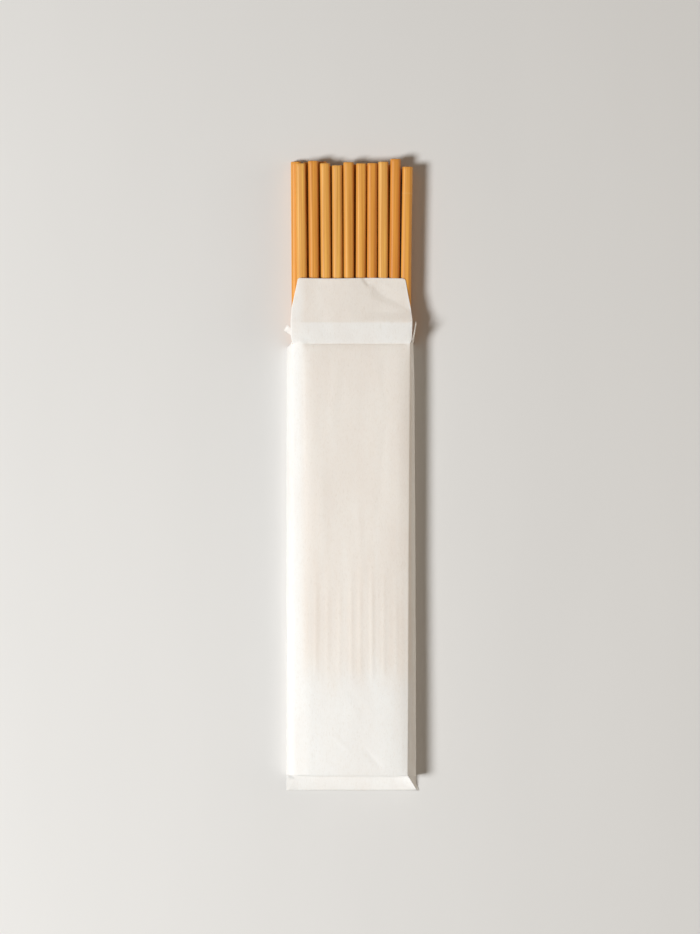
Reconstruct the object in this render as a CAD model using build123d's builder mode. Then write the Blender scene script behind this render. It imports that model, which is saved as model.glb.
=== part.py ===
from build123d import *
import os

# Ten pairs of bamboo chopsticks in an open paper bag, lying flat, in millimetres.
# +Z is up from the surface it lies on, and the bag's back sheet lies on z = 0.
# +Y runs from the bag's closed end towards the handles. The origin is under the middle
# of the whole outline.

os.makedirs("parts", exist_ok=True)

# ---- Chopsticks: square with round corners at the handle, slimmer and round at the tip ----
stick_length = 235.0
handle_width = 4.75
shank_width = 4.6
shank_at = 110.0  # from the handle's end, where the long taper to the tip starts
tip_width = 2.6
end_chamfer = 0.3
corner_share = 0.27  # the corner radius as a share of the width
tip_corner_share = 0.45  # nearly a circle

# Two layers of ten, every handle the same way. Each stick has its own place across the bag,
# handle end, turn about Z in degrees and roll about its own line.
bottom_layer_x = (-25.3, -19.6, -13.6, -8.4, -3.0, 2.5, 8.1, 13.8, 19.5, 25.6)
bottom_layer_y = (143.6, 143.4, 143.7, 141.6, 142.0, 142.3, 141.8, 142.6, 142.4, 140.8)
bottom_layer_turn = (0.25, 0.3, 0.25, 0.2, 0.1, 0.0, -0.1, -0.15, -0.25, -0.4)
bottom_layer_roll = (2.0, -3.0, 1.5, -2.0, 3.0, 1.0, -2.5, 2.5, -1.5, 2.0)
top_layer_x = (-23.1, -17.43, -12.0, -6.45, -1.25, 4.7, 9.7, 14.7, 20.3, 25.85)
top_layer_y = (142.65, 143.8, 142.7, 141.75, 143.2, 142.65, 142.8, 143.4, 144.7, 141.1)
top_layer_turn = (0.6, 0.5, 0.5, 0.2, 0.25, -0.3, -0.2, -0.1, -0.5, -0.85)
top_layer_roll = (2.0, -1.5, 2.5, -2.5, 1.0, 3.0, -2.0, 1.5, -3.0, 2.0)
rolled_half_height = 2.43  # half of a handle's height at the largest roll
layer_gap = 0.02

# ---- Paper bag: one folded and glued sheet ----
paper = 0.3
mouth_y = 60.1
end_y = -137.5  # where the standing sides stop and the flat bottom hem starts
hem_end_y = -144.7
hem_left_x = -29.7
hem_right_x = 30.6

# Stations along the bag: y, then across the section the left foot, left shoulder, left bend,
# right crease and right foot, and the height at the left bend and at the right crease.
stations = (
    (mouth_y, -29.4, -26.4, -22.7, 26.95, 28.5, 11.0, 11.0),
    (45.0, -29.7, -26.3, -22.3, 26.7, 28.9, 11.6, 11.7),
    (-40.0, -29.7, -25.6, -20.6, 26.0, 29.4, 11.8, 11.8),
    (-110.0, -29.7, -25.0, -19.5, 25.6, 29.6, 11.8, 12.0),
    (end_y, -29.7, -25.0, -19.0, 25.6, 29.6, 11.4, 13.2),
)
left_knee_inset = 1.2
left_knee_height = 5.5
left_shoulder_drop = 1.2
right_knee_inset = 0.15
right_knee_height = 6.5

# The front sheet runs on past the mouth as a flap that lies over the sticks, creased across
# at the mouth and once more. The profile is the flap's underside, in Y and Z.
flap_root_y = mouth_y - 0.5
flap_end_y = 90.5
flap_profile = ((flap_root_y, 10.7), (mouth_y, 10.7), (69.95, 12.0), (flap_end_y, 11.0))
flap_outline = (
    (-27.6, flap_root_y),
    (-27.9, 76.8),
    (-24.3, flap_end_y),
    (24.7, flap_end_y),
    (26.4, 79.3),
    (27.8, 71.6),
    (27.8, flap_root_y),
)
flap_half_span = 30.0
flap_corner = 1.5
above_flap = 20.0

# The side sheets run on as two short ears beside the flap. Each is a strip of paper that goes
# from its root in the side to its free end: the low and the high edge's X and Z at both.
left_ear = {mouth_y - 0.8: ((-27.0, 8.6), (-23.6, 10.3)), 68.5: ((-30.6, 8.2), (-27.3, 10.9))}
right_ear = {mouth_y - 0.8: ((28.35, 5.0), (27.3, 9.6)), 70.4: ((30.0, 8.6), (29.5, 14.2))}


def handle_plane(x, y, height, turn, roll):
    """The plane of a handle's cut end, facing down the stick towards its tip."""
    towards_tip = Vector(0, -1, 0).rotate(Axis.Z, turn)
    across = Vector(1, 0, 0).rotate(Axis.Z, turn).rotate(Axis((0, 0, 0), towards_tip), roll)
    return Plane(origin=(x, y, height), x_dir=across, z_dir=towards_tip)


def bag_section(station):
    """The corners of the bag's cross-section, in X and Z, from the left foot round to the right."""
    _, left_foot, left_shoulder, left_bend, right_crease, right_foot, left_top, right_top = station
    return (
        (left_foot, 0),
        (left_foot + left_knee_inset, left_knee_height),
        (left_shoulder, left_top - left_shoulder_drop),
        (left_bend, left_top),
        (right_crease, right_top),
        (right_foot - right_knee_inset, right_knee_height),
        (right_foot, 0),
    )


# Distances from the handle's cut end, with the width and corner radius there.
stick_sections = (
    (0.0, handle_width - 2 * end_chamfer, corner_share * handle_width - end_chamfer),
    (end_chamfer, handle_width, corner_share * handle_width),
    (shank_at, shank_width, corner_share * shank_width),
    (stick_length - 2 * end_chamfer, tip_width, tip_corner_share * tip_width),
    (stick_length, tip_width - 2 * end_chamfer, tip_corner_share * tip_width - end_chamfer),
)
bottom_height = paper + layer_gap + rolled_half_height
top_height = bottom_height + layer_gap + 2 * rolled_half_height
bottom_layer = zip(bottom_layer_x, bottom_layer_y, bottom_layer_turn, bottom_layer_roll)
top_layer = zip(top_layer_x, top_layer_y, top_layer_turn, top_layer_roll)

for layer, height, places in (("bottom", bottom_height, bottom_layer), ("top", top_height, top_layer)):
    for number, (x, y, turn, roll) in enumerate(places, 1):
        cut_end = handle_plane(x, y, height, turn, roll)
        with BuildPart() as chopstick:
            for distance, width, corner in stick_sections:
                with BuildSketch(cut_end.offset(distance)):
                    RectangleRounded(width, width, corner)
            loft(ruled=True)
        name = f"chopstick_{layer}_{number:02d}"
        chopstick.part.label = name
        export_step(chopstick.part, f"parts/{name}.step")

with BuildPart() as flap:
    with BuildSketch(Plane.YZ.offset(-flap_half_span)):
        with BuildLine():
            upper_side = [(y, z + paper) for y, z in reversed(flap_profile)]
            Polyline(*flap_profile, *upper_side, close=True)
        make_face()
    extrude(amount=2 * flap_half_span)
    with BuildSketch(Plane.XY):
        with BuildLine():
            Polyline(*flap_outline, close=True)
        make_face()
        fillet(vertices().group_by(Axis.Y)[-1], flap_corner)
    extrude(amount=above_flap, mode=Mode.INTERSECT)

with BuildPart() as paper_bag:
    # The standing tube, first as a full block, then hollowed from the mouth to the end wall.
    for station in stations:
        with BuildSketch(Plane.XZ.offset(-station[0])):
            with BuildLine():
                Polyline(*bag_section(station), close=True)
            make_face()
    loft(ruled=True)
    hollow_ends = {mouth_y: mouth_y + 1.0, end_y: end_y + paper}
    for station in stations:
        with BuildSketch(Plane.XZ.offset(-hollow_ends.get(station[0], station[0]))):
            with BuildLine():
                Polyline(*bag_section(station), close=True)
            make_face()
            offset(amount=-paper, kind=Kind.INTERSECTION, mode=Mode.REPLACE)
    loft(ruled=True, mode=Mode.SUBTRACT)

    # The bottom hem, both sheets glued together and flat on the floor.
    with BuildSketch(Plane.XY):
        with BuildLine():
            Polyline(
                (hem_left_x, end_y + paper),
                (hem_left_x, hem_end_y),
                (hem_right_x, hem_end_y),
                (stations[-1][5], end_y + paper),
                close=True,
            )
        make_face()
    extrude(amount=2 * paper)

    for ear in (left_ear, right_ear):
        for y, ((low_x, low_z), (high_x, high_z)) in ear.items():
            with BuildSketch(Plane.XZ.offset(-y)):
                with BuildLine():
                    Polyline(
                        (low_x, low_z),
                        (high_x, high_z),
                        (high_x - paper, high_z),
                        (low_x - paper, low_z),
                        close=True,
                    )
                make_face()
        loft(ruled=True)
    add(flap.part)

paper_bag.part.label = "paper_bag"
export_step(paper_bag.part, "parts/paper_bag.step")
print("stick volume", round(chopstick.part.volume), "mm3, bag volume", round(paper_bag.part.volume), "mm3")
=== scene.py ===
# %% [markdown]
# # Bamboo chopsticks in an open paper bag
#
# The object is a slim white paper bag with ten pairs of bamboo chopsticks in it, lying flat.
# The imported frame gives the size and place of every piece, and this lesson dresses it:
# each stick becomes a slightly irregular machined rod with fibres and cut ends, and the bag
# becomes one thin sheet with its folds, creases and dents. Lengths below are written in
# millimetres, because paper and chopsticks are, and turned to metres when a mesh is made.

# %% Load the frame
import math
import bpy
import numpy as np
from mathutils import Matrix, Vector


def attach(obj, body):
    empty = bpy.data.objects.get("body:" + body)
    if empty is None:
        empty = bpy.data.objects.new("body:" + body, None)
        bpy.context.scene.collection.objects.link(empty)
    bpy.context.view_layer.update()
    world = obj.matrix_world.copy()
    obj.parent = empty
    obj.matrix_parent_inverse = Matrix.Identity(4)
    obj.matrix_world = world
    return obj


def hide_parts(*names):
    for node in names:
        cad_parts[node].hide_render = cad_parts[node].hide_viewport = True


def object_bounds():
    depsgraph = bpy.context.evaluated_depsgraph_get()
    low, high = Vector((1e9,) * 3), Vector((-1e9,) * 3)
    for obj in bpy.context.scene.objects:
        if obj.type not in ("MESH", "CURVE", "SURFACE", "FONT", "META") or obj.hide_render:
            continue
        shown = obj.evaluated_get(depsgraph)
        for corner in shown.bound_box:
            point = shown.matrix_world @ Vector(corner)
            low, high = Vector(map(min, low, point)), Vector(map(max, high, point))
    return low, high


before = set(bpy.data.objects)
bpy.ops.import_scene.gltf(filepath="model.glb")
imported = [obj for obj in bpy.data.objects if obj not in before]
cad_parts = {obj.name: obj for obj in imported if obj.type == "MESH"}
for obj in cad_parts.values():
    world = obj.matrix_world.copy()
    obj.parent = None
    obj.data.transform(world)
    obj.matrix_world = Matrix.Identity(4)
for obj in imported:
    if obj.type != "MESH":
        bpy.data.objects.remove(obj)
cad_low, cad_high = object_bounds()
MM = 0.001
stick_names = sorted(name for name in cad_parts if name.startswith("chopstick"))
print("sticks", len(stick_names), "box", [round(v / MM, 1) for v in (*cad_low, *cad_high)])


def srgb(red, green, blue):
    """A colour given as it looks on a screen, from 0 to 255, as linear light."""
    shares = [value / 255 for value in (red, green, blue)]
    return tuple(s / 12.92 if s <= 0.04045 else ((s + 0.055) / 1.055) ** 2.4 for s in shares)


# %% [markdown]
# ## Shader helpers
#
# Materials are node trees. Typing out every node and link hides what a material does, so
# three small helpers add a node with its values, join two sockets, and declare a group's
# sockets. The alternative, one long function for each material, repeats itself.

# %% Node helpers
def add_node(tree, kind, settings=None, **inputs):
    """A new node of that kind. Keywords set input sockets by name, with _ for a space."""
    node = tree.nodes.new(kind)
    for key, value in (settings or {}).items():
        setattr(node, key, value)
    for key, value in inputs.items():
        socket = node.inputs[key.replace("_", " ")]
        if isinstance(value, bpy.types.NodeSocket):
            tree.links.new(value, socket)
        else:
            socket.default_value = value
    return node


def math_node(tree, operation, first, second=0.0, third=0.0, clamp=False):
    """The output of a Math node on two or three values or sockets."""
    node = add_node(tree, "ShaderNodeMath", {"operation": operation, "use_clamp": clamp})
    for socket, value in zip(node.inputs, (first, second, third)):
        if isinstance(value, bpy.types.NodeSocket):
            tree.links.new(value, socket)
        else:
            socket.default_value = value
    return node.outputs[0]


def mix_colours(tree, share, first, second, blend="MIX"):
    """The colour between first and second, each a socket or a linear RGB triple."""
    node = add_node(tree, "ShaderNodeMix", {"data_type": "RGBA", "blend_type": blend})
    for index, value in ((0, share), (6, first), (7, second)):
        if isinstance(value, bpy.types.NodeSocket):
            tree.links.new(value, node.inputs[index])
        elif index == 0:
            node.inputs[index].default_value = value
        else:
            node.inputs[index].default_value = (*value, 1.0)
    return node.outputs[2]


def new_group(name, inputs, outputs):
    """An empty shader group with float inputs {name: default} and outputs, all floats."""
    group = bpy.data.node_groups.new(name, "ShaderNodeTree")
    for socket_name, default in inputs.items():
        socket = group.interface.new_socket(socket_name, in_out="INPUT", socket_type="NodeSocketFloat")
        socket.default_value = default
    for socket_name in outputs:
        group.interface.new_socket(socket_name, in_out="OUTPUT", socket_type="NodeSocketFloat")
    return group, group.nodes.new("NodeGroupInput"), group.nodes.new("NodeGroupOutput")


def place_group(tree, group, **inputs):
    """A group node in a material, its inputs set by name."""
    return add_node(tree, "ShaderNodeGroup", {"node_tree": group}, **inputs)


def new_material(name):
    """A material with an empty tree, its tree, and its output node."""
    material = bpy.data.materials.new(name)
    material.use_nodes = True
    tree = material.node_tree
    tree.nodes.clear()
    return material, tree, tree.nodes.new("ShaderNodeOutputMaterial")


# %% [markdown]
# ## Fibres that run along a stick
#
# Bamboo is a bundle of long straight fibres. Cut lengthwise, it shows fine pale and dark
# lines that run for centimetres, with short dark flecks where a vessel was opened. A wood
# wave texture would give rings, which bamboo does not have. Noise squeezed across the stick
# and stretched along it gives lines that start and stop at random, as fibres do. The stick's
# own Z runs along it, so the noise is scaled there, and each stick's seed shifts it.

# %% Group: bamboo fibres
def build_fibre_group():
    group, inside, outside = new_group(
        "Bamboo fibres",
        {"Fibres per mm": 2.4, "Length mm": 40.0, "Seed": 0.0},
        ("Lines", "Flecks", "Bands", "Clouds"),
    )
    place = add_node(group, "ShaderNodeTexCoord").outputs["Object"]
    split = add_node(group, "ShaderNodeSeparateXYZ", Vector=place)
    across = math_node(group, "MULTIPLY", inside.outputs["Fibres per mm"], 1 / MM)
    along = math_node(group, "DIVIDE", 1 / MM, inside.outputs["Length mm"])
    shift = math_node(group, "MULTIPLY", inside.outputs["Seed"], 37.0)

    def stretched(widening, lengthening):
        """Coordinates for noise that many times as wide and as long as one fibre."""
        x = math_node(group, "DIVIDE", math_node(group, "MULTIPLY", split.outputs["X"], across), widening)
        y = math_node(group, "DIVIDE", math_node(group, "MULTIPLY", split.outputs["Y"], across), widening)
        z = math_node(group, "DIVIDE", math_node(group, "MULTIPLY", split.outputs["Z"], along), lengthening)
        joined = add_node(group, "ShaderNodeCombineXYZ", X=math_node(group, "ADD", x, shift), Y=y, Z=z)
        return joined.outputs["Vector"]

    def noise(vector, detail):
        return add_node(group, "ShaderNodeTexNoise", Vector=vector, Scale=1.0, Detail=detail).outputs["Fac"]

    lines = noise(stretched(1.0, 1.0), 3.0)
    flecks = noise(stretched(0.6, 0.12), 1.0)
    bands = noise(stretched(2.0, 1.6), 2.0)
    clouds = noise(stretched(7.0, 0.7), 2.0)
    outputs = (
        ("Lines", lines, 0.34, 0.66), ("Flecks", flecks, 0.66, 0.78),
        ("Bands", bands, 0.36, 0.64), ("Clouds", clouds, 0.3, 0.7),
    )
    for name, value, low, high in outputs:
        spread = add_node(
            group, "ShaderNodeMapRange", Value=value, From_Min=low, From_Max=high
        )
        group.links.new(spread.outputs["Result"], outside.inputs[name])
    return group


fibre_group = build_fibre_group()
print("group", fibre_group.name, "outputs", [s.name for s in fibre_group.interface.items_tree][:3])


# %% [markdown]
# ## Bamboo, along and across
#
# The sticks are carbonised bamboo: steamed until it turns caramel, then polished but not
# varnished, so it has a soft shine with no mirror in it. No two sticks match, because each
# is cut from another culm. Three attributes that are stored in each stick's mesh tell them
# apart: seed moves the fibres, tone goes from pale gold to rust, and ring_at is where
# a node of the culm crossed the stick, which leaves a thin pale line and a low ring.
#
# The cut ends need another look. There the fibres are seen end on, as dark dots in a paler
# ground, which a Voronoi texture gives at once.

# %% Material: bamboo
pale_gold = srgb(253, 209, 120)
caramel = srgb(246, 181, 82)
rust = srgb(231, 150, 58)
fibre_brown = srgb(178, 92, 24)
ring_cream = srgb(238, 190, 130)


def build_bamboo():
    material, tree, output = new_material("golden_bamboo")
    seed = add_node(tree, "ShaderNodeAttribute", {"attribute_name": "seed"}).outputs["Fac"]
    tone = add_node(tree, "ShaderNodeAttribute", {"attribute_name": "tone"}).outputs["Fac"]
    ring_at = add_node(tree, "ShaderNodeAttribute", {"attribute_name": "ring_at"}).outputs["Fac"]
    fibres = place_group(tree, fibre_group, Seed=seed)
    lines, flecks, bands, clouds = (fibres.outputs[name] for name in ("Lines", "Flecks", "Bands", "Clouds"))

    warm = mix_colours(tree, math_node(tree, "MULTIPLY", tone, 2.0, clamp=True), pale_gold, caramel)
    deep = math_node(tree, "MULTIPLY_ADD", tone, 2.0, -1.0, clamp=True)
    base = mix_colours(tree, deep, warm, rust)
    clouded = mix_colours(tree, math_node(tree, "MULTIPLY", clouds, 0.4), base, caramel)
    banded = mix_colours(tree, math_node(tree, "MULTIPLY", bands, 0.42), clouded, fibre_brown)
    lined = mix_colours(tree, math_node(tree, "MULTIPLY", lines, 0.26), banded, fibre_brown)
    flecked = mix_colours(tree, math_node(tree, "MULTIPLY", flecks, 0.3), lined, fibre_brown)

    place = add_node(tree, "ShaderNodeTexCoord").outputs["Object"]
    along = add_node(tree, "ShaderNodeSeparateXYZ", Vector=place).outputs["Z"]
    away = math_node(tree, "ABSOLUTE", math_node(tree, "SUBTRACT", along, ring_at))
    ring = add_node(
        tree, "ShaderNodeMapRange",
        Value=away, From_Min=0.15 * MM, From_Max=0.5 * MM, To_Min=1.0, To_Max=0.0,
    ).outputs["Result"]
    ringed = mix_colours(tree, math_node(tree, "MULTIPLY", ring, 0.17), flecked, ring_cream)

    height = math_node(tree, "MULTIPLY_ADD", lines, -0.6, math_node(tree, "MULTIPLY", flecks, -0.5))
    bump = add_node(tree, "ShaderNodeBump", Strength=0.35, Distance=0.05 * MM, Height=height)
    roughness = math_node(tree, "MULTIPLY_ADD", lines, 0.12, 0.38)
    shader = add_node(
        tree, "ShaderNodeBsdfPrincipled",
        Base_Color=ringed, Roughness=roughness, Normal=bump.outputs["Normal"],
    )
    shader.inputs["Specular IOR Level"].default_value = 0.36
    tree.links.new(shader.outputs["BSDF"], output.inputs["Surface"])
    return material


bamboo = build_bamboo()
print("material", bamboo.name, "nodes", len(bamboo.node_tree.nodes))


# %% [markdown]
# The end grain is a material of its own, on the faces of both ends. The cells of the Voronoi
# texture are the bundles of fibres, about 0.4 mm apart, and each has a dark dot in it.

# %% Material: bamboo end grain
def build_end_grain():
    material, tree, output = new_material("bamboo_end_grain")
    place = add_node(tree, "ShaderNodeTexCoord").outputs["Object"]
    cells = add_node(tree, "ShaderNodeTexVoronoi", Vector=place, Scale=1 / (0.42 * MM), Randomness=0.85)
    dots = add_node(
        tree, "ShaderNodeMapRange",
        Value=cells.outputs["Distance"], From_Min=0.16, From_Max=0.36, To_Min=1.0, To_Max=0.0,
    ).outputs["Result"]
    clouds = add_node(tree, "ShaderNodeTexNoise", Vector=place, Scale=1 / (1.1 * MM), Detail=3.0)
    ground = clouds.outputs["Fac"]
    body = mix_colours(tree, ground, srgb(222, 172, 112), srgb(198, 140, 82))
    colour = mix_colours(tree, math_node(tree, "MULTIPLY", dots, 0.65), body, srgb(120, 70, 34))
    height = math_node(tree, "SUBTRACT", 1.0, dots)
    bump = add_node(tree, "ShaderNodeBump", Strength=0.5, Distance=0.06 * MM, Height=height)
    shader = add_node(
        tree, "ShaderNodeBsdfPrincipled", Base_Color=colour, Roughness=0.72, Normal=bump.outputs["Normal"]
    )
    tree.links.new(shader.outputs["BSDF"], output.inputs["Surface"])
    return material


end_grain = build_end_grain()
print("materials", [m.name for m in bpy.data.materials if m.users])


# %% [markdown]
# ## Reading a stick's line from the frame
#
# Every stick lies a little askew and is rolled a little about its own line. The frame's
# solid says how: the middle of the points at each end gives the two ends of its line. The
# roll shows in the end section. It is a square with round corners, so its outline repeats
# four times round, and the fourth power of each point, taken as a complex number about the
# middle, always points at a corner. Their sum gives the roll with no search.

# %% Measure the sticks
def read_stick(name):
    """Handle end, direction to the tip, length and roll, from the frame's solid."""
    points = np.array([v.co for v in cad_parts[name].data.vertices]) / MM
    handle = points[points[:, 1] > points[:, 1].max() - 0.6]
    tip = points[points[:, 1] < points[:, 1].min() + 0.2]
    start = (handle.min(0) + handle.max(0)) / 2
    start[1] = points[:, 1].max()
    end = (tip.min(0) + tip.max(0)) / 2
    line = end - start
    length = np.linalg.norm(line)
    rim = handle[np.abs(handle[:, 1] - handle[:, 1].min()) < 0.25] - start
    outline = (rim[:, 0] + 1j * rim[:, 2]) ** 4
    roll = (np.angle(outline.sum()) - math.pi) / 4
    roll = (roll + math.pi / 4) % (math.pi / 2) - math.pi / 4
    return start, line / length, length, roll


for name in stick_names[:3] + stick_names[-1:]:
    start, line, length, roll = read_stick(name)
    turned = round(math.degrees(roll), 1)
    print(name, "handle end", start.round(1), "length", round(length, 1), "roll", turned)


# %% [markdown]
# ## One chopstick
#
# A chopstick is machined from one strip of bamboo: a square rod with round corners that
# tapers towards a rounder tip. A cube scaled and bevelled would be too perfect. Here the
# section is drawn ring by ring along the stick, so that it can change its size and corners
# on the way, bow a little, and swell where a node of the culm was. Each stick's mesh is
# built about its own line, and its object carries the place, so the fibres in the material
# follow the stick however it lies.

# %% Section and rings of a stick
handle_width = 4.7
shank_width = 4.55
shank_at = 110.0
tip_width = 2.6
corner_share = 0.36
tip_corner_share = 0.45
arc_steps = 6
flat_steps = 4


def square_ring(half, corner):
    """A square with round corners, as complex points; half its width and its corner radius."""
    quarter = [corner * np.exp(1j * a) for a in np.linspace(0, math.pi / 2, arc_steps + 1)]
    quarter = [(half - corner) * (1 + 1j) + p for p in quarter]
    flat_end = quarter[0] * 1j
    for share in np.linspace(0, 1, flat_steps + 1)[1:-1]:
        quarter.append(quarter[arc_steps] * (1 - share) + flat_end * share)
    return np.concatenate([np.array(quarter) * 1j**turn for turn in range(4)])


def stick_rings(length, rng, ring_at):
    """Distance along the stick and outline of each ring, from the handle end to the tip."""
    chamfer_places = (0.0, 0.07, 0.16, 0.34)
    chamfer_insets = (0.3, 0.15, 0.06, 0.0)
    places = list(chamfer_places) + list(np.linspace(1.5, length - 1.5, 110))
    places += [length - p for p in chamfer_places[::-1]]
    insets = list(chamfer_insets) + [0.0] * 110 + list(chamfer_insets[::-1])
    phases = rng.uniform(0, 2 * math.pi, 8)
    bow = rng.uniform(-0.08, 0.08, 2)
    rings = []
    for place, inset in zip(places, insets):
        width = np.interp(place, (0, shank_at, length), (handle_width, shank_width, tip_width))
        share = np.interp(place, (shank_at, length), (corner_share, tip_corner_share))
        width += 0.025 * math.sin(place / 31 + phases[0]) + 0.015 * math.sin(place / 9 + phases[1])
        outline = square_ring(width / 2 - inset, max(width * share - inset, 0.2))
        turn = np.angle(outline)
        uneven = 0.012 * np.sin(3 * turn + place / 23 + phases[2])
        uneven = uneven + 0.01 * np.sin(5 * turn + place / 14 + phases[3])
        swell = 0.05 * math.exp(-(((place - ring_at) / 0.9) ** 2))
        outline = outline * (1 + (uneven + swell) / abs(outline))
        drift = (bow[0] + 1j * bow[1]) * math.sin(math.pi * place / length)
        rings.append((place, outline + drift))
    return rings


ring_test = square_ring(handle_width / 2, handle_width * corner_share)
print("points round a stick", len(ring_test), "width", round(float(np.ptp(ring_test.real)), 2))


# %% [markdown]
# The rings are joined with quads, and the two ends are closed with two smaller rings and a
# point, so the cut faces are a little uneven too. The end faces get the second material. The
# three attributes are one value for the whole stick, stored at every point.

# %% Mesh of a stick
def build_stick(name, node, tone, ring_at, seed):
    """One chopstick in the place of its node of the frame."""
    start, line, length, roll = read_stick(node)
    rng = np.random.default_rng(seed)
    rings = stick_rings(length, rng, ring_at)
    count = len(rings[0][1])
    points = []
    for place, outline in rings:
        points += [(p.real, p.imag, place) for p in outline]
    faces = []
    for r in range(len(rings) - 1):
        for c in range(count):
            d = (c + 1) % count
            faces.append((r * count + c, (r + 1) * count + c, (r + 1) * count + d, r * count + d))
    side_faces = len(faces)
    for ring, flip in ((0, False), (len(rings) - 1, True)):
        place, outline = rings[ring]
        outer = [ring * count + c for c in range(count)]
        middle = outline.mean()
        for share in (0.72, 0.4):
            inner = [len(points) + c for c in range(count)]
            for p in outline:
                q = middle + (p - middle) * share
                points.append((q.real, q.imag, place + rng.uniform(-0.015, 0.015)))
            for c in range(count):
                d = (c + 1) % count
                face = (outer[c], outer[d], inner[d], inner[c])
                faces.append(face[::-1] if flip else face)
            outer = inner
        points.append((middle.real, middle.imag, place))
        for c in range(count):
            face = (outer[c], outer[(c + 1) % count], len(points) - 1)
            faces.append(face[::-1] if flip else face)
    mesh = bpy.data.meshes.new(name)
    mesh.from_pydata([Vector(p) * MM for p in points], [], faces)
    mesh.materials.append(bamboo)
    mesh.materials.append(end_grain)
    indices = np.zeros(len(faces), dtype=np.int32)
    indices[side_faces:] = 1
    mesh.polygons.foreach_set("material_index", indices)
    mesh.polygons.foreach_set("use_smooth", np.ones(len(faces), dtype=bool))
    mesh.set_sharp_from_angle(angle=math.radians(42))
    for key, value in (("tone", tone), ("seed", float(seed)), ("ring_at", ring_at * MM)):
        attribute = mesh.attributes.new(key, "FLOAT", "POINT")
        attribute.data.foreach_set("value", np.full(len(points), value, dtype=np.float32))

    sideways = Vector((math.cos(roll), 0.0, math.sin(roll)))
    forward = Vector(line)
    sideways = (sideways - forward * sideways.dot(forward)).normalized()
    upwards = forward.cross(sideways)
    piece = bpy.data.objects.new(name, mesh)
    bpy.context.collection.objects.link(piece)
    turn = Matrix((sideways, upwards, forward)).transposed().to_4x4()
    piece.matrix_world = Matrix.Translation(Vector(start) * MM) @ turn
    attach(piece, "root")
    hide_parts(node)
    return piece


# %% [markdown]
# ## Ten pairs
#
# The sticks are laid in two rows of ten. The tones are given in a list for each row. Most
# sticks were cut between the nodes of the culm, so only a few get a ring, at different heights.

# %% Lay the sticks
no_ring = -50.0
top_tones = (0.35, 0.8, 0.4, 0.3, 0.5, 0.5, 0.85, 0.3, 0.9, 0.6)
bottom_tones = (0.6, 0.5, 0.85, 0.6, 0.7, 0.95, 0.55, 0.8, 0.6, 0.7)
top_rings = (no_ring, 96.0, no_ring, 61.0, no_ring, no_ring, 118.0, no_ring, no_ring, 12.2)
bottom_rings = (no_ring, no_ring, 44.0, no_ring, 23.0, no_ring, no_ring, 71.0, no_ring, no_ring)
sticks = []
for layer, tones, ring_places in (("bottom", bottom_tones, bottom_rings), ("top", top_tones, top_rings)):
    for number, (tone, ring_at) in enumerate(zip(tones, ring_places), start=1):
        node = f"chopstick_{layer}_{number:02d}"
        seed = number + (20 if layer == "top" else 0)
        sticks.append(build_stick(f"stick_{layer}_{number:02d}", node, tone, ring_at, seed))
triangles = sum(len(p.vertices) - 2 for p in sticks[0].data.polygons)
print("sticks laid", len(sticks), "triangles each", triangles)


# %% [markdown]
# ## White paper
#
# The bag is thin white kraft paper, smooth on its outer face. Up close, it isn't one white:
# fibres lie in it as faint longer specks, and it is cloudy where the pulp was thicker. It
# also lets light through, which is what keeps its shaded side pale. A little subsurface
# light in a closed thin sheet does that.

# %% Group: pulp
def build_pulp_group():
    group, inside, outside = new_group(
        "Pulp", {"Cloud mm": 9.0, "Fibre mm": 0.5}, ("Cloud", "Fibre", "Grain")
    )
    place = add_node(group, "ShaderNodeTexCoord").outputs["Object"]
    cloud_scale = math_node(group, "DIVIDE", 1 / MM, inside.outputs["Cloud mm"])
    fibre_scale = math_node(group, "DIVIDE", 1 / MM, inside.outputs["Fibre mm"])
    stretched = add_node(group, "ShaderNodeMapping", Vector=place, Scale=(1.0, 0.28, 1.0)).outputs["Vector"]
    cloud = add_node(group, "ShaderNodeTexNoise", Vector=stretched, Scale=cloud_scale, Detail=4.0)
    fibre = add_node(
        group, "ShaderNodeTexNoise", Vector=stretched, Scale=fibre_scale, Detail=2.0, Distortion=1.2
    )
    grain = add_node(group, "ShaderNodeTexNoise", Vector=place, Scale=fibre_scale, Detail=5.0)
    for name, noise in (("Cloud", cloud), ("Fibre", fibre), ("Grain", grain)):
        value = noise.outputs["Fac"]
        spread = add_node(group, "ShaderNodeMapRange", Value=value, From_Min=0.3, From_Max=0.7)
        group.links.new(spread.outputs["Result"], outside.inputs[name])
    return group


pulp_group = build_pulp_group()
print("group", pulp_group.name, "nodes", len(pulp_group.nodes))


# %% [markdown]
# Two near whites and a pale fibre colour make the paper. Over the sticks it is multiplied
# with a warm tint, painted shade for the sticks that show through the thin paper, by the share
# that is stored in the sheet further down. The bump is very low, because the paper's outer face is smooth.

# %% Material: white paper
paper_bright = srgb(244, 242, 239)
paper_cloudy = srgb(240, 236, 232)
paper_fibre = srgb(226, 219, 211)
# painted shade: the warm tint of the paper where sticks show through it
painted_shade_over_sticks = (0.975, 0.925, 0.885)


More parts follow.
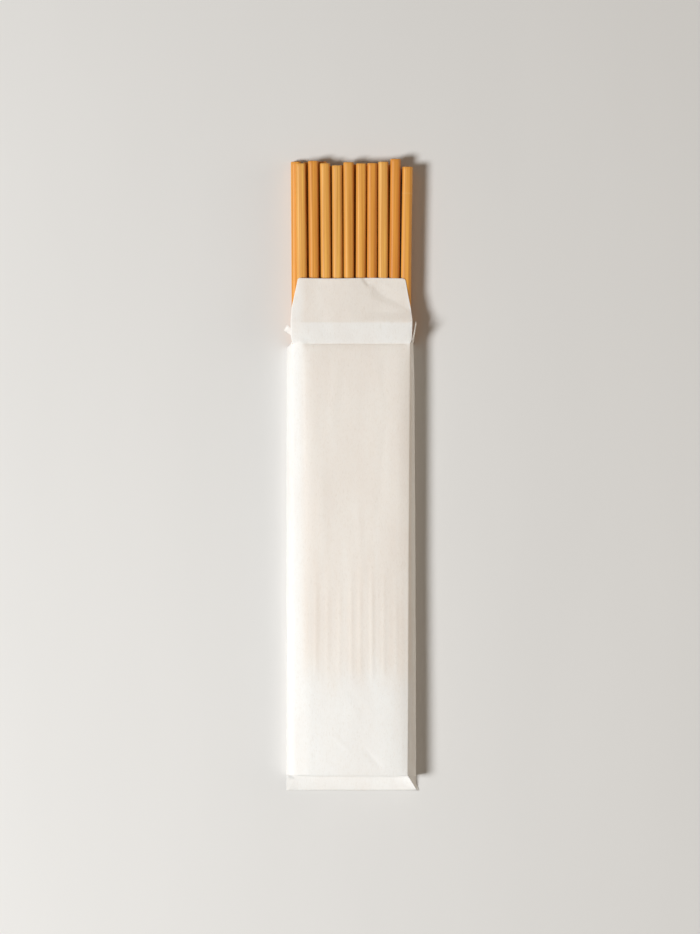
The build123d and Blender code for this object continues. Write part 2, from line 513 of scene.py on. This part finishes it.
def build_paper():
    material, tree, output = new_material("white_kraft_paper")
    pulp = place_group(tree, pulp_group, Cloud_mm=11.0, Fibre_mm=0.55)
    clouded = mix_colours(tree, pulp.outputs["Cloud"], paper_bright, paper_cloudy)
    fibre = math_node(tree, "MULTIPLY", math_node(tree, "POWER", pulp.outputs["Fibre"], 3.0), 0.35)
    plain = mix_colours(tree, fibre, clouded, paper_fibre)
    # painted shade: the stored share of stick below darkens and warms the paper
    below = add_node(tree, "ShaderNodeAttribute", {"attribute_name": "painted_stick_shade"}).outputs["Fac"]
    colour = mix_colours(tree, below, plain, painted_shade_over_sticks, "MULTIPLY")
    grain = math_node(tree, "MULTIPLY", pulp.outputs["Grain"], 0.4)
    height = math_node(tree, "MULTIPLY_ADD", pulp.outputs["Fibre"], 0.6, grain)
    bump = add_node(tree, "ShaderNodeBump", Strength=0.25, Distance=0.03 * MM, Height=height)
    roughness = math_node(tree, "MULTIPLY_ADD", pulp.outputs["Grain"], 0.08, 0.58)
    shader = add_node(
        tree, "ShaderNodeBsdfPrincipled",
        Base_Color=colour, Roughness=roughness, Normal=bump.outputs["Normal"],
    )
    shader.inputs["Specular IOR Level"].default_value = 0.3
    shader.inputs["Subsurface Weight"].default_value = 0.6
    shader.inputs["Subsurface Radius"].default_value = (1.0, 0.96, 0.92)
    shader.inputs["Subsurface Scale"].default_value = 0.15 * MM
    tree.links.new(shader.outputs["BSDF"], output.inputs["Surface"])
    return material


paper = build_paper()
print("paper", paper.name, "nodes", len(paper.node_tree.nodes))


# %% [markdown]
# ## The bag's body as one sheet
#
# The bag is one sheet of paper, folded to a flat tube. Ten pairs of sticks push it open to
# a low box with a soft left shoulder and a crisp right fold. It could be a box with a cloth
# simulation on it, but paper doesn't stretch, and simulated paper soon looks like cloth.
# So the sheet is a grid of rows along the bag and columns round it. A few sections, listed
# from the mouth to the end, give the corners, and everything between is worked out.

# %% Sections of the bag
mouth_y = 60.1
end_y = -137.5
hem_y = -144.7
# y, left foot, left shoulder, left bend, right fold, right foot, height of bend, height of fold
sections = np.array([
    (60.1, -29.4, -26.9, -22.7, 27.0, 28.6, 11.0, 11.0),
    (45.0, -29.7, -26.9, -22.3, 26.9, 29.0, 11.2, 11.2),
    (-40.0, -29.7, -26.7, -20.8, 26.3, 29.5, 10.8, 11.8),
    (-110.0, -29.7, -26.6, -19.7, 26.0, 29.7, 10.3, 12.7),
    (-137.5, -29.7, -26.6, -19.4, 25.8, 29.7, 10.4, 13.1),
])[::-1]


def along_bag(y, column):
    """That column of the table of sections, at any place along the bag."""
    return np.interp(y, sections[:, 0], sections[:, column])


def smooth_step(value, start, stop):
    """0 before start and 1 after stop, with a soft change between them."""
    share = np.clip((value - start) / (stop - start), 0, 1)
    return share * share * (3 - 2 * share)


fine_rows = mouth_y - np.array([0.0, 0.3, 0.65, 1.1, 1.6, 2.2, 2.9, 3.7])
body_rows = np.linspace(mouth_y - 4.7, end_y + 0.5, 186)
row_y = np.concatenate([fine_rows, body_rows, [end_y + 0.15, end_y]])
print("rows along the bag", len(row_y), "spacing", round(float(body_rows[0] - body_rows[1]), 2), "mm")


# %% [markdown]
# A folded edge is never a line. The table gives corners, and each corner is rounded with a
# short curve: a wide one for the soft left shoulder, a very tight one for the right fold.
# The curve is a quadratic through the corner, which needs no centre and no radius, so it
# works for every angle the corners take along the bag.

# %% Columns round the bag
def round_outline(corners, softness, bend_steps, straight_steps):
    """Points round closed corners: each corner is a curve that starts and ends that far from it.

    corners is an array of corner, row and (x, z). The other lists have one value for each
    corner, and a straight run follows its corner.
    """
    columns = []
    total = len(corners)
    marks = []
    for i in range(total):
        here, before, after = corners[i], corners[i - 1], corners[(i + 1) % total]
        back = before - here
        onward = after - here
        back = back / np.linalg.norm(back, axis=1, keepdims=True)
        onward = onward / np.linalg.norm(onward, axis=1, keepdims=True)
        first = here + back * softness[i]
        last = here + onward * softness[i]
        marks.append(len(columns))
        for t in np.linspace(0, 1, bend_steps[i] + 1):
            columns.append(first * (1 - t) ** 2 + here * 2 * t * (1 - t) + last * t**2)
        next_first = after - onward * softness[(i + 1) % total]
        for t in np.linspace(0, 1, straight_steps[i] + 1)[1:-1]:
            columns.append(last * (1 - t) + next_first * t)
    return np.array(columns), marks


def body_corners(y):
    """The seven corners of the section at each y, clockwise from the left foot."""
    foot, shoulder, bend, fold, right_foot, bend_z, fold_z = (along_bag(y, k) for k in range(1, 8))
    flat = np.zeros_like(y)
    shoulder_drop = 1.9 - 0.3 * smooth_step(y, 10.0, 50.0)
    corners = [
        (foot, flat), (foot + 0.9, flat + 5.5), (shoulder, bend_z - shoulder_drop), (bend, bend_z),
        (fold, fold_z), (right_foot - 0.15, flat + 6.5), (right_foot, flat),
    ]
    return np.array([np.stack(pair, axis=1) for pair in corners])


softness = (0.5, 1.9, 1.5, 1.5, 0.28, 2.2, 0.45)
bend_steps = (4, 5, 4, 5, 4, 5, 4)
straight_steps = (5, 3, 3, 62, 4, 5, 56)
outline, marks = round_outline(body_corners(row_y), softness, bend_steps, straight_steps)
left_foot, left_knee, left_shoulder, left_bend, right_fold, right_knee, right_foot = marks
column_count = len(outline)
print("columns round the bag", column_count, "faces", column_count * (len(row_y) - 1))


# %% [markdown]
# ## Dents, ridges and creases
#
# Handled paper is never flat. The top panel is tight over the sticks near the mouth and
# slopes up to the right further down. The tips of the sticks press long low ridges into it.
# Each mark is a small height added to the sheet: a crease is a narrow ridge or valley along
# a line, and everything else is a slow unevenness. They are added as geometry, because a
# ridge a tenth of a millimetre high already catches a low light, and it stays in the model
# when another program opens it.

# %% Height of the top panel
def crease(x, y, start, stop, height, width):
    """A ridge, or a valley if height is below 0, along a line that fades out at both ends."""
    across = np.array(stop) - np.array(start)
    length = np.hypot(*across)
    along = ((x - start[0]) * across[0] + (y - start[1]) * across[1]) / length
    aside = ((x - start[0]) * across[1] - (y - start[1]) * across[0]) / length
    before, after = -0.15 * length, 0.25 * length
    fade = smooth_step(along, before, after) * smooth_step(length - along, before, after)
    return height * np.exp(-((aside / width) ** 2)) * fade


def unevenness(x, y, size_x, size_y, height, seed):
    """Slow unevenness of about that size each way, from a few waves in random directions."""
    rng = np.random.default_rng(seed)
    total = np.zeros_like(x)
    for _ in range(9):
        angle = rng.uniform(0, 2 * math.pi)
        wave = rng.uniform(0.7, 1.6)
        phase = rng.uniform(0, 2 * math.pi)
        total += np.sin(wave * (math.cos(angle) * x / size_x + math.sin(angle) * y / size_y) * 2 + phase)
    return total * height / 3


tip_ridges = (-21.2, -16.1, -10.7, -5.2, 0.1, 4.2, 9.5, 15.0, 20.5)
tip_heights = (0.08, 0.13, 0.09, 0.1, 0.16, 0.15, 0.2, 0.12, 0.1)
panel_creases = (
    ((-8.4, -119.0), (-0.6, -127.0), 0.16, 1.2),
    ((6.3, -125.5), (14.2, -134.6), -0.22, 1.3),
    ((-6.0, 52.0), (-9.5, 18.0), 0.08, 1.6),
    ((11.0, 58.0), (14.0, 30.0), 0.07, 1.5),
    ((16.0, 26.0), (12.0, -22.0), -0.09, 2.0),
    ((-14.0, 8.0), (-12.5, -38.0), 0.08, 1.8),
    ((3.0, -12.0), (5.5, -52.0), 0.08, 1.5),
    ((-3.0, -95.0), (8.0, -112.0), -0.1, 2.2),
)


def panel_height(x, y, bend_x, fold_x):
    """Height of the top panel over the straight line from its left bend to its right fold."""
    from_left = np.clip(x - bend_x, 0, None)
    from_right = np.clip(fold_x - x, 0, None)
    low_half = 1 - smooth_step(y, -72.0, 8.0)
    tight = 0.8 * (1 - (1 - np.clip(from_left / 8.5, 0, 1)) ** 3)
    rising = 1.2 * (1 - (1 - np.clip(from_left / 33.0, 0, 1)) ** 1.7)
    rising -= 0.8 * np.clip((from_left - 33.0) / 12.0, 0, 1) ** 2
    rounded = 1 - (1 - np.clip(from_right / (6.0 - 2.5 * low_half), 0, 1)) ** 2
    bulge = tight * 1.1 * (1 - low_half) + rising * low_half
    bulge = bulge * rounded
    near_mouth = 1 - 0.9 * np.exp(-np.clip(mouth_y - y, 0, None) / 5.0)
    near_end = 1 - 0.6 * np.exp(-np.clip(y - end_y, 0, None) / 7.0)
    height = bulge * near_mouth * near_end
    inside = smooth_step(from_left, 0, 4.0) * smooth_step(from_right, 0, 3.0)
    marks = unevenness(x, y, 9.0, 30.0, 0.07, 3) + unevenness(x, y, 4.0, 14.0, 0.02, 5)
    for start, stop, ridge, width in panel_creases:
        marks = marks + crease(x, y, start, stop, ridge, width)
    reach = smooth_step(y, -97.0, -86.0) * (1 - smooth_step(y, -62.0, -34.0))
    for place, ridge in zip(tip_ridges, tip_heights):
        drift = (y + 75.0) * 0.004 * (1 if place < 0 else -1)
        marks = marks + reach * ridge * np.exp(-(((x - place - drift) / 0.85) ** 2))
    return height + marks * inside


print("creases", len(panel_creases), "ridges over the tips", len(tip_ridges))


# %% [markdown]
# Now the body can be laid out as an array of points: every row is a section, every column a
# line along the bag. The panel's own height is added on top, the side walls get their slow
# waves, the back sheet gets its glued seam, and the mouth is cut back at the left side.

# %% Body of the bag
body = np.zeros((len(row_y), column_count, 3))
body[:, :, 0] = outline[:, :, 0].T
body[:, :, 1] = row_y[:, None]
body[:, :, 2] = outline[:, :, 1].T

top = slice(left_bend, right_fold + bend_steps[4] + 1)
bend_x = along_bag(row_y, 3)[:, None]
fold_x = along_bag(row_y, 4)[:, None]
body[:, top, 2] += panel_height(body[:, top, 0], body[:, top, 1], bend_x, fold_x)

from_edges = smooth_step(body[:, top, 0] - bend_x, 0.0, 4.0)
from_edges = from_edges * smooth_step(fold_x - body[:, top, 0], 0.0, 3.0)
fold_lip = 0.45 * np.exp(-(mouth_y - row_y[:, None]) / 0.7)
body[:, top, 2] -= fold_lip * from_edges

left_side = slice(left_foot, left_bend)
wall_wave = unevenness(body[:, left_side, 1], body[:, left_side, 2] * 3, 11.0, 9.0, 0.12, 11)
body[:, left_side, 0] -= wall_wave * smooth_step(body[:, left_side, 2], 0.5, 4.0)
right_side = slice(right_fold + 5, right_foot)
wall_wave = unevenness(body[:, right_side, 1], body[:, right_side, 2] * 3, 13.0, 9.0, 0.1, 12)
body[:, right_side, 0] += wall_wave * smooth_step(body[:, right_side, 2], 0.5, 3.0)

seam_half = 5.5
under = slice(right_foot + bend_steps[6] + 1, column_count)
off_seam = smooth_step(abs(body[:, under, 0] - 2.0), seam_half - 0.3, seam_half + 0.3)
body[:, under, 2] += 0.12 * off_seam

mouth_cut = 1.5
cut = smooth_step(-body[:, :, 0], 27.4, 29.4) * np.exp(-(mouth_y - row_y[:, None]) / 5.0)
body[:, :, 1] -= mouth_cut * cut
panel_z = body[:, top, 2]
print("top panel from", round(float(panel_z.min()), 1), "to", round(float(panel_z.max()), 1), "mm high")


# %% [markdown]
# ## The end, the mouth flap and the ears
#
# At its end the tube is pinched shut: a low wall drops from the top panel, and a flat hem
# lies on the table beyond it. At the mouth the top panel goes on as a flap, bent down at the
# mouth and up again, which lies loose over the sticks. Two scraps of the side walls stick up
# beside it, left where the side folds were cut. All of these go on from the body's own
# border points, so the sheet stays one piece of paper.

# %% Sheet helper
sheet_points = [tuple(p) for p in body.reshape(-1, 3)]
sheet_faces = []
for r in range(len(row_y) - 1):
    for c in range(column_count):
        d = (c + 1) % column_count
        base = r * column_count
        sheet_faces.append((base + c, base + column_count + c, base + column_count + d, base + d))


def extend_sheet(border, rows, closed=False, flip=False):
    """Joins rows of new points to a border of the sheet; border is a list of point numbers."""
    count = len(border)
    for row in rows:
        fresh = list(range(len(sheet_points), len(sheet_points) + count))
        sheet_points.extend(tuple(p) for p in row)
        for c in range(count if closed else count - 1):
            d = (c + 1) % count
            face = (border[c], fresh[c], fresh[d], border[d])
            sheet_faces.append(face[::-1] if flip else face)
        border = fresh
    return border


# %% [markdown]
# The end wall hangs from the panel's last row and is tucked in a little, and the hem goes on
# from it. At the right corner the side's fold runs out on to the hem as a sharp ridge, which
# ends in a small corner that sticks out.

# %% Closed end and hem
hem_top = 0.46
hem_left_fold = (-24.5, -29.1)  # x at the wall and at the hem's edge
hem_right_fold = (25.7, 30.2)
hem_left_x = -29.7
hem_right_x = 29.7
corner_out = 1.3  # how far the right corner of the hem sticks out
corner_ridge = 5.2
tuck = 0.3
wall_rows = 10
hem_rows = 9
last_row = body[-1]
upper = np.zeros(column_count, dtype=bool)
upper[left_foot + 2:right_foot + 3] = True
end_x = last_row[:, 0].copy()
corner_left = left_bend + 2
corner_right = right_fold + 2
hem_creases = (((-29.0, -137.2), (-23.5, -140.8)), ((-29.0, -142.2), (-24.4, -144.2)))


def hem_shape(share):
    """Every column's point on the hem; share is 0 at the wall and 1 at the hem's edge."""
    left_x = np.interp(share, (0, 1), hem_left_fold)
    right_x = np.interp(share, (0, 1), hem_right_fold)
    edge_x = hem_right_x + corner_out * smooth_step(share, 0.45, 1.0)
    row = last_row.copy()
    index = np.arange(column_count)
    panel = (index >= corner_left) & (index <= corner_right)
    row[panel, 0] = np.interp(end_x[panel], (end_x[corner_left], end_x[corner_right]), (left_x, right_x))
    left = (index < corner_left) & upper
    steps = np.linspace(0, 1, left.sum())
    row[left, 0] = hem_left_x + (left_x - hem_left_x) * steps
    right = (index > corner_right) & upper
    steps_right = np.linspace(0, 1, right.sum())
    row[right, 0] = right_x + (edge_x - right_x) * steps_right
    row[:, 1] = end_y + tuck + (hem_y - end_y - tuck) * share
    row[upper, 2] = hem_top
    ridge = corner_ridge * (1 - share) + 0.1
    row[panel, 2] += ridge * np.exp(-(right_x - row[panel, 0]) / (1.0 + 1.4 * (1 - share)))
    row[right, 2] = hem_top * 0.5 + ridge * (1 - steps_right)
    row[left, 2] = hem_top * (0.6 + 0.4 * steps)
    for start, stop in hem_creases:
        row[upper, 2] -= crease(row[upper, 0], row[upper, 1], start, stop, 0.16, 0.5)
    return row


hem_start = hem_shape(0.0)
closing = []
for step in range(1, wall_rows + 1):
    down = step / wall_rows
    row = last_row * (1 - down) + hem_start * down
    dents = 0.25 * unevenness(end_x, np.full(column_count, 5.0 * down), 4.0, 6.0, 1.0, 21)
    inward = math.sin(math.pi * down) * (0.3 + abs(dents))
    row[:, 1] = end_y + tuck * down + inward * upper
    drop = last_row[upper, 2] - hem_start[upper, 2]
    row[upper, 2] = hem_start[upper, 2] + drop * math.cos(down * math.pi / 2) ** 1.2
    closing.append(row)
for step in range(1, hem_rows + 1):
    closing.append(hem_shape(step / hem_rows))
body_border = list(range((len(row_y) - 1) * column_count, len(row_y) * column_count))
extend_sheet(body_border, closing, closed=True)
print("end wall and hem rows", len(closing))


# %% [markdown]
# The flap is a new run of rows from the panel's first row. Its sides and its height are given
# by a few points each. A broad valley crosses its right part, a short sharp fold starts at
# its edge, and it can't go lower than the sticks it lies on.

# %% Mouth flap
flap_end_y = 90.1
second_crease_y = 69.95
first_column = left_shoulder + 2
last_column = right_fold + 2
flap_columns = list(range(first_column, last_column + 1))
flap_base = body[0, first_column:last_column + 1]
base_left, base_right = flap_base[0, 0], flap_base[-1, 0]
flap_share = (flap_base[:, 0] - base_left) / (base_right - base_left)
# (y, x) along each side, and (y, height) along the middle
flap_left = (
    (mouth_y, base_left), (61.6, -27.3), (64.0, -27.6), (70.0, -27.75), (76.8, -27.2), (flap_end_y, -24.3),
)
flap_right = (
    (mouth_y, base_right), (61.6, 27.6), (66.0, 27.9), (71.1, 28.0),
    (76.1, 27.3), (82.1, 26.1), (flap_end_y, 24.7),
)
flap_start_z = 10.75
flap_profile = (
    (mouth_y, flap_start_z), (60.9, 11.0), (64.0, 11.5), (68.9, 12.2),
    (second_crease_y, 12.32), (71.2, 12.22), (80.0, 11.75), (flap_end_y, 11.2),
)
flap_steps = (
    ((4.2, 91.4), (7.4, 86.4), -0.6, 0.3),
    ((7.0, 87.2), (13.0, 83.4), -0.12, 0.5),
    ((9.0, 81.6), (17.8, 78.4), -0.1, 0.4),
)
over_sticks_z = 10.3
flap_valley = ((8.5, 86.4), (29.5, 75.2), -0.42, 2.6)


def step_down(x, y, start, stop, height, width):
    """A step along a line, which comes back to nothing further aside and fades out at both ends."""
    across = np.array(stop) - np.array(start)
    length = np.hypot(*across)
    along = ((x - start[0]) * across[0] + (y - start[1]) * across[1]) / length
    aside = -((x - start[0]) * across[1] - (y - start[1]) * across[0]) / length
    fade = smooth_step(along, -0.1 * length, 0.2 * length)
    fade = fade * smooth_step(length - along, -0.2 * length, 0.3 * length)
    return height * fade * (0.5 + 0.5 * np.tanh(aside / width)) * np.exp(-((aside / 5.0) ** 2))


def flap_edge_x(y, side):
    """The x of that side of the flap at each y."""
    places, edges = zip(*side)
    return np.interp(y, places, edges)


def corner_inset(y, radius):
    """How far a round corner of the flap comes in from its side at that height."""
    into = max(0.0, y - (flap_end_y - radius))
    return radius - math.sqrt(max(radius**2 - into**2, 0.0))


def flap_row(y):
    left_x = flap_edge_x(y, flap_left) + corner_inset(y, 0.5)
    right_x = flap_edge_x(y, flap_right) - corner_inset(y, 1.1)
    x = left_x + (right_x - left_x) * flap_share
    middle_z = np.interp(y, *zip(*flap_profile))
    z = np.full_like(x, middle_z)
    z -= 0.12 * np.exp(-(x - left_x) / 1.7) + 0.5 * np.exp(-(right_x - x) / 2.0)
    ys = np.full_like(x, y)
    z -= 1.0 * smooth_step(x, -1.0, 17.0) * smooth_step(y, second_crease_y, second_crease_y + 5.0)
    z += unevenness(x, ys, 8.0, 7.0, 0.09, 31) + unevenness(x, ys, 3.0, 4.0, 0.025, 32)
    for start, stop, drop, width in flap_steps:
        z += step_down(x, ys, start, stop, drop, width)
    z += crease(x, ys, *flap_valley)
    z = np.maximum(z, over_sticks_z)
    joined = smooth_step(y, mouth_y, mouth_y + 2.6)
    z = z * joined + (flap_base[:, 2] + middle_z - flap_start_z) * (1 - joined)
    wavy = 0.15 * np.sin(x / 6.0) * smooth_step(y, 84.0, flap_end_y)
    return np.stack([x, ys + wavy, z], axis=1)


near_fold = mouth_y + np.array([0.3, 0.65, 1.05, 1.5, 2.0])
flap_rows = [flap_row(y) for y in np.concatenate([near_fold, np.linspace(mouth_y + 2.6, flap_end_y, 56)])]
extend_sheet(flap_columns, flap_rows, flip=True)
print("flap rows", len(flap_rows), "columns", len(flap_columns))


# %% [markdown]
# An ear is a narrow strip between two edges. Each stage gives both edges' points, from the
# root to the free end, and the rows between the stages are blends of them.

# %% Ears beside the mouth
def ear_rows(border, stages, steps):
    """Rows that go from the border through stages, each a pair of end points (x, y, z)."""
    first = np.array([sheet_points[border[0]], sheet_points[border[-1]]])
    ends = np.array([first] + [np.array(stage) for stage in stages])
    places = np.linspace(0, len(ends) - 1, steps + 1)[1:]
    rows = []
    for place in places:
        low = min(int(place), len(ends) - 2)
        share = place - low
        pair = ends[low] * (1 - share) + ends[low + 1] * share
        rows.append([pair[0] * (1 - t) + pair[1] * t for t in np.linspace(0, 1, len(border))])
    return rows


left_ear = list(range(left_shoulder - 3, left_shoulder + 2))
left_stages = (
    ((-26.9, 61.6, 9.3), (-25.2, 63.0, 10.1)),
    ((-27.6, 64.0, 9.2), (-26.4, 66.6, 10.2)),
    ((-30.8, 66.2, 9.3), (-29.3, 68.9, 10.6)),
)
extend_sheet(left_ear, ear_rows(left_ear, left_stages, 9), flip=True)
right_ear = list(range(right_fold + 5, right_knee + 5))
right_stages = (
    ((27.9, 61.6, 10.2), (28.7, 61.2, 6.2)),
    ((28.95, 66.0, 12.6), (29.2, 65.0, 8.4)),
    ((29.65, 70.2, 13.9), (29.8, 69.0, 12.4)),
)
extend_sheet(right_ear, ear_rows(right_ear, right_stages, 12), flip=True)
print("points in the whole sheet", len(sheet_points))


# %% [markdown]
# ## Painted shade where the sticks show through
#
# Thin white paper lets light through, and where something lies right under it some of that
# light is lost, so the paper looks a little darker and warmer there. Here that is the sticks,
# and this shade is painted into the paper's colour. Where they end, and faintly between their
# tapered tips, the paper is whiter. The doubled strip by the mouth hides them better, and a
# painted highlight keeps a thin line along the flap's free edge white. The share of painted
# shade at each point is worked out from the sticks' lines and stored in the sheet, for its material to use.

# %% Painted shade over the sticks
stick_lines = [read_stick(name)[:3] for name in stick_names if "top" in name]
print("sticks that show through", len(stick_lines))


def painted_stick_shade(points):
    """Share of painted shade: from 0, nothing under the paper, to 1, a stick right under it."""
    x, y, z = points.T
    share = np.zeros(len(points))
    for start, line, length in stick_lines:
        along = (y - start[1]) / line[1]
        middle = start[0] + line[0] * along
        half = np.interp(along, (0, shank_at, length), (handle_width, shank_width, tip_width)) / 2
        cover = 1 - smooth_step(abs(x - middle), half - 0.9, half + 0.7)
        cover *= smooth_step(length - along, -1.0, 4.0) * smooth_step(along, -5.0, 0.0)
        share = np.maximum(share, cover)
    covered = smooth_step(z, 8.5, 10.0) * smooth_step(x, -25.0, -20.0) * (1 - smooth_step(x, 27.0, 29.0))
    doubled = 1 - 0.95 * smooth_step(y, mouth_y - 0.2, mouth_y + 0.4) * (1 - smooth_step(y, 69.4, 70.2))
    far_end = -92.0 + unevenness(x, y * 0.2, 5.0, 5.0, 4.0, 41)
    over_sticks = smooth_step(y, far_end - 12.0, far_end + 12.0)
    at_tips = (1 - smooth_step(y, -60.0, -20.0)) * (0.6 + 0.4 * unevenness(x, y, 7.0, 14.0, 1.0, 42))
    streaks = np.clip(0.06 + 0.2 * at_tips, 0, 0.4) * share
    # painted highlight: no stick shade within about 0.6 mm of the flap's free end and right side
    to_cut = np.minimum(flap_end_y - y, flap_edge_x(y, flap_right) - x)
    painted_edge_highlight = (1 - smooth_step(to_cut, 0.15, 0.6)) * smooth_step(y, mouth_y, mouth_y + 1.5)
    return covered * doubled * (0.8 * over_sticks + streaks) * (1 - painted_edge_highlight)


# %% [markdown]
# The points become one mesh. The sheet has no thickness yet: a Solidify modifier adds it on
# the inner side, so the outer face stays where it was drawn, and the cut edges show.

# %% Finish the sheet
paper_thickness = 0.14
bag_mesh = bpy.data.meshes.new("folded_bag")
bag_mesh.from_pydata([Vector(p) * MM for p in sheet_points], [], sheet_faces)
bag_mesh.polygons.foreach_set("use_smooth", np.ones(len(sheet_faces), dtype=bool))
bag_mesh.set_sharp_from_angle(angle=math.radians(38))
bag_mesh.materials.append(paper)
spots = np.array(sheet_points)
# painted shade: how much stick lies under each point, for the paper's colour
shade = bag_mesh.attributes.new("painted_stick_shade", "FLOAT", "POINT")
shade.data.foreach_set("value", painted_stick_shade(spots).astype(np.float32))
bag = bpy.data.objects.new("folded_bag", bag_mesh)
bpy.context.collection.objects.link(bag)
solidify = bag.modifiers.new("Paper thickness", "SOLIDIFY")
solidify.thickness = paper_thickness * MM
solidify.offset = -1.0
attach(bag, "root")
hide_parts("paper_bag")
print("sheet faces", len(sheet_faces), "triangles about", 4 * len(sheet_faces))


# %% [markdown]
# ## Table, light and camera
#
# The bag lies on a plain pale table under one soft lamp up on the left, far enough away that
# its light is nearly even. A weak warm lamp, low on the right, stands for a wall that sends
# light back into the shaded side, and a dim warm sky fills the rest. The camera looks
# straight down through a long lens, which keeps the edges parallel.

# %% Table
def build_table_finish():
    material, tree, output = new_material("pale_table")
    pulp = place_group(tree, pulp_group, Cloud_mm=60.0, Fibre_mm=1.2)
    colour = mix_colours(tree, pulp.outputs["Cloud"], srgb(225, 223, 221), srgb(223, 221, 219))
    bump = add_node(tree, "ShaderNodeBump", Strength=0.1, Distance=0.03 * MM, Height=pulp.outputs["Grain"])
    shader = add_node(
        tree, "ShaderNodeBsdfPrincipled", Base_Color=colour, Roughness=0.85, Normal=bump.outputs["Normal"]
    )
    shader.inputs["Specular IOR Level"].default_value = 0.2
    tree.links.new(shader.outputs["BSDF"], output.inputs["Surface"])
    return material


table_reach = 3.0
table_drop = 0.02 * MM
table_mesh = bpy.data.meshes.new("table")
corners = [(-1, -1), (1, -1), (1, 1), (-1, 1)]
table_points = [(x * table_reach, y * table_reach, -table_drop) for x, y in corners]
table_mesh.from_pydata(table_points, [], [(0, 1, 2, 3)])
table_mesh.materials.append(build_table_finish())
table = bpy.data.objects.new("table", table_mesh)
bpy.context.collection.objects.link(table)
print("table", round(2 * table_reach, 1), "m wide")

# %% [markdown]
# The lamp's distance sets how fast its light falls off across the table, and its size how
# soft the shadow's edge is. Its aim is beyond the bag's closed end, so that end is a little
# brighter than the sticks.

# %% Lamp and sky
lamp_place = Vector((-1.08, -0.2, 1.323))
lamp_data = bpy.data.lights.new("soft_lamp", "AREA")
lamp_data.shape = "DISK"
lamp_data.size = 0.52
lamp_data.energy = 32.0
lamp_data.color = (0.975, 1.0, 1.01)
lamp = bpy.data.objects.new("soft_lamp", lamp_data)
lamp.location = lamp_place
lamp_aim = Vector((0.0, -0.72, 0.0))
lamp.rotation_euler = (lamp_aim - lamp_place).to_track_quat("-Z", "Y").to_euler()
bpy.context.collection.objects.link(lamp)

fill_place = Vector((1.5, 0.25, 0.42))
fill_data = bpy.data.lights.new("warm_fill", "AREA")
fill_data.size = 0.9
fill_data.energy = 5.3
fill_data.color = (1.0, 0.87, 0.71)
fill = bpy.data.objects.new("warm_fill", fill_data)
fill.location = fill_place
fill.rotation_euler = (-fill_place).to_track_quat("-Z", "Y").to_euler()
bpy.context.collection.objects.link(fill)

world = bpy.data.worlds.new("sky")
world.use_nodes = True
world.node_tree.nodes["Background"].inputs["Color"].default_value = (1.0, 0.87, 0.71, 1.0)
world.node_tree.nodes["Background"].inputs["Strength"].default_value = 0.158
bpy.context.scene.world = world
bpy.context.scene.view_settings.view_transform = "Standard"
print("lamps", lamp.name, fill.name, "at", round(lamp_place.length, 2), round(fill_place.length, 2), "m")

# %% [markdown]
# A camera 4 m up with a long lens sees the bag nearly without perspective. The lens follows
# from the sensor and from the height of table that the picture takes in.

# %% Camera
view_height = 0.4284
camera_height = 4.0
sensor = 36.0
camera_data = bpy.data.cameras.new("overhead")
camera_data.lens = sensor * camera_height / view_height
camera_data.sensor_width = sensor
camera = bpy.data.objects.new("overhead", camera_data)
middle = (cad_low + cad_high) / 2
camera.location = (middle.x - 0.0004, middle.y + 0.00369, camera_height)
bpy.context.collection.objects.link(camera)
bpy.context.scene.camera = camera
print("camera", [round(v, 4) for v in camera.location], "lens", round(camera_data.lens, 1))
